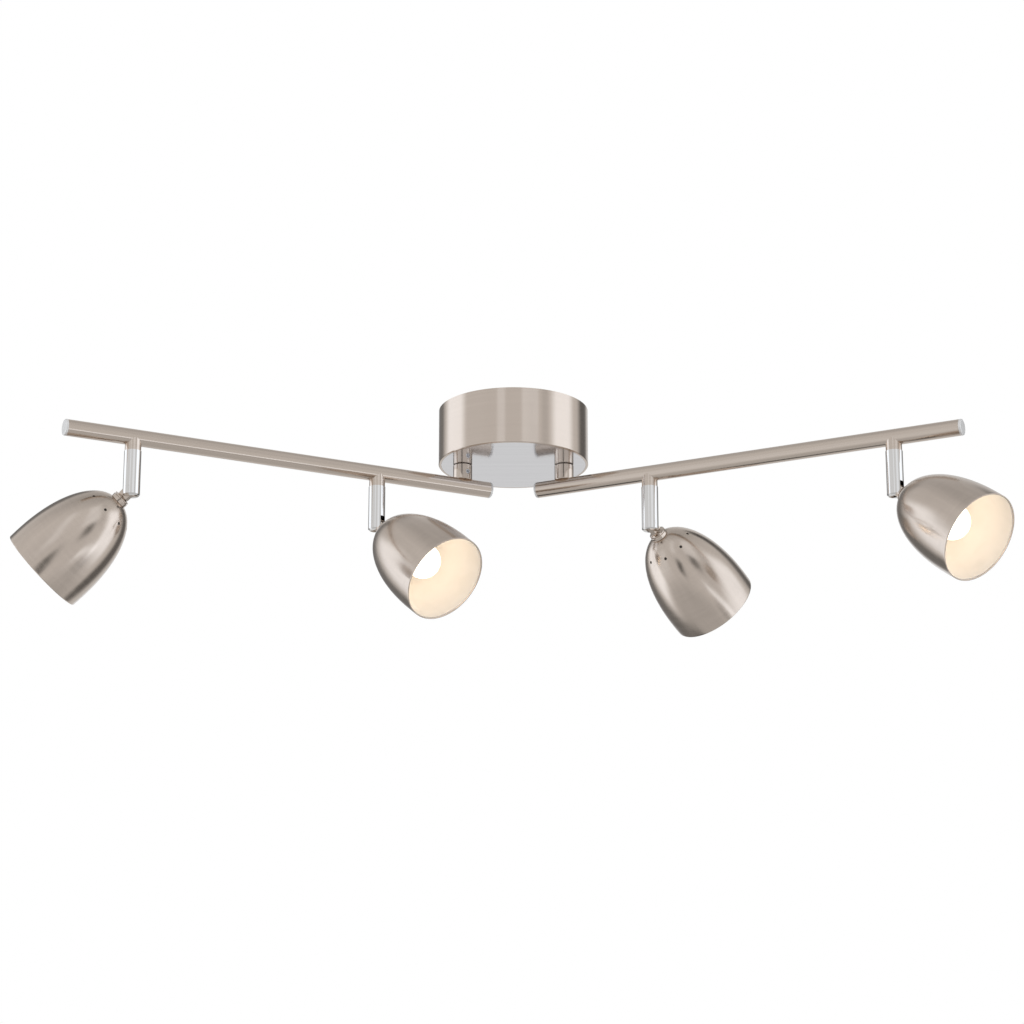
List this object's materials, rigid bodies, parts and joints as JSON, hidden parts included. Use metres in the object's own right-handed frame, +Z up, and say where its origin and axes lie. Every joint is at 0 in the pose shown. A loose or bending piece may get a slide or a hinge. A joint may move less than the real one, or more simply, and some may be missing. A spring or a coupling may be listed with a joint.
{
  "type": "ceiling track light",
  "caption": "Ceiling light with a round canopy, straight swinging arms under it, and adjustable spot heads with bell-shaped shades on short stems.",
  "frame": {"origin": "centre of the canopy's top on the ceiling plane, which is the centre of the mounting plate's slots", "axes": "+Z up into the ceiling; +X along the light's length to the right arm's side; the arms are swung forward, towards -Y"},
  "size_m": [0.7981, 0.2785, 0.2015],
  "materials": {
    "brushed_nickel": "satin brushed nickel plate, warm",
    "polished_nickel": "polished nickel plate with faint straight brushing",
    "chrome": "polished chrome plate",
    "zinc_steel": "zinc-plated steel",
    "green_screw": "green-tinted earth screw",
    "ivory_plastic": "moulded insulating plastic",
    "lead_sleeve": "black lead insulation",
    "white_ceramic": "white glazed ceramic",
    "white_enamel": "warm white enamel or gloss plastic",
    "frosted_glass": "frosted white glass, lit"
  },
  "bodies": {
    "canopy": {"mounting_plate": "zinc_steel", "ground_screw": "green_screw", "canopy_wall": "brushed_nickel", "bottom_plate": "polished_nickel", "plate_ring": "zinc_steel", "canopy_screws": "brushed_nickel", "terminal_block": "ivory_plastic", "terminal_screws": "zinc_steel", "stop_studs": "zinc_steel", "canopy_leads": "lead_sleeve"},
    "left_arm": {"left_arm_tube": "brushed_nickel", "left_arm_post": "brushed_nickel", "left_post_set_screw": "zinc_steel", "left_pivot_nipple": "zinc_steel", "left_stop_washer": "zinc_steel", "left_pivot_nut": "zinc_steel", "left_end_caps": "polished_nickel", "left_head_collars": "brushed_nickel", "left_arm_leads": "lead_sleeve"},
    "right_arm": {"right_arm_tube": "brushed_nickel", "right_arm_post": "brushed_nickel", "right_post_set_screw": "zinc_steel", "right_pivot_nipple": "zinc_steel", "right_stop_washer": "zinc_steel", "right_pivot_nut": "zinc_steel", "right_end_caps": "polished_nickel", "right_head_collars": "brushed_nickel", "right_arm_leads": "lead_sleeve"},
    "left_outer_swivel": {"left_outer_stem": "chrome", "left_outer_pivot_pin": "chrome"},
    "left_outer_head": {"left_outer_knuckle": "brushed_nickel", "left_outer_neck_ring": "brushed_nickel", "left_outer_shade": "brushed_nickel", "left_outer_lamp_holder": "white_ceramic", "left_outer_bulb_base": "white_enamel", "left_outer_bulb_globe": "frosted_glass"},
    "left_inner_swivel": {"left_inner_stem": "chrome", "left_inner_pivot_pin": "chrome"},
    "left_inner_head": {"left_inner_knuckle": "brushed_nickel", "left_inner_neck_ring": "brushed_nickel", "left_inner_shade": "brushed_nickel", "left_inner_lamp_holder": "white_ceramic", "left_inner_bulb_base": "white_enamel", "left_inner_bulb_globe": "frosted_glass"},
    "right_inner_swivel": {"right_inner_stem": "chrome", "right_inner_pivot_pin": "chrome"},
    "right_inner_head": {"right_inner_knuckle": "brushed_nickel", "right_inner_neck_ring": "brushed_nickel", "right_inner_shade": "brushed_nickel", "right_inner_lamp_holder": "white_ceramic", "right_inner_bulb_base": "white_enamel", "right_inner_bulb_globe": "frosted_glass"},
    "right_outer_swivel": {"right_outer_stem": "chrome", "right_outer_pivot_pin": "chrome"},
    "right_outer_head": {"right_outer_knuckle": "brushed_nickel", "right_outer_neck_ring": "brushed_nickel", "right_outer_shade": "brushed_nickel", "right_outer_lamp_holder": "white_ceramic", "right_outer_bulb_base": "white_enamel", "right_outer_bulb_globe": "frosted_glass"}
  },
  "joints": [
    {"name": "left_arm_swing", "type": "hinge", "parent": "canopy", "child": "left_arm", "pos_m": [-0.043, 0, -0.0665], "axis": [0, 0, 1], "range_deg": [-116.2, 63.8]},
    {"name": "right_arm_swing", "type": "hinge", "parent": "canopy", "child": "right_arm", "pos_m": [0.043, 0, -0.0665], "axis": [0, 0, 1], "range_deg": [-63.8, 116.2]},
    {"name": "left_outer_pan", "type": "hinge", "parent": "left_arm", "child": "left_outer_swivel", "pos_m": [-0.30679, -0.1298, -0.0665], "axis": [0, 0, 1], "range_deg": [-170, 170]},
    {"name": "left_outer_tilt", "type": "hinge", "parent": "left_outer_swivel", "child": "left_outer_head", "pos_m": [-0.30679, -0.1298, -0.1105], "axis": [0.2588, 0.9659, 0], "range_deg": [-50, 35]},
    {"name": "left_inner_pan", "type": "hinge", "parent": "left_arm", "child": "left_inner_swivel", "pos_m": [-0.11388, -0.03488, -0.0665], "axis": [0, 0, 1], "range_deg": [-170, 170]},
    {"name": "left_inner_tilt", "type": "hinge", "parent": "left_inner_swivel", "child": "left_inner_head", "pos_m": [-0.11388, -0.03488, -0.1105], "axis": [-0.632, -0.7749, 0], "range_deg": [-51, 34]},
    {"name": "right_inner_pan", "type": "hinge", "parent": "right_arm", "child": "right_inner_swivel", "pos_m": [0.11388, -0.03488, -0.0665], "axis": [0, 0, 1], "range_deg": [-170, 170]},
    {"name": "right_inner_tilt", "type": "hinge", "parent": "right_inner_swivel", "child": "right_inner_head", "pos_m": [0.11388, -0.03488, -0.1105], "axis": [0.7254, -0.6884, 0], "range_deg": [-56, 29]},
    {"name": "right_outer_pan", "type": "hinge", "parent": "right_arm", "child": "right_outer_swivel", "pos_m": [0.30679, -0.1298, -0.0665], "axis": [0, 0, 1], "range_deg": [-170, 170]},
    {"name": "right_outer_tilt", "type": "hinge", "parent": "right_outer_swivel", "child": "right_outer_head", "pos_m": [0.30679, -0.1298, -0.1105], "axis": [-0.6871, -0.7266, 0], "range_deg": [-54.3, 30.7]}
  ]
}
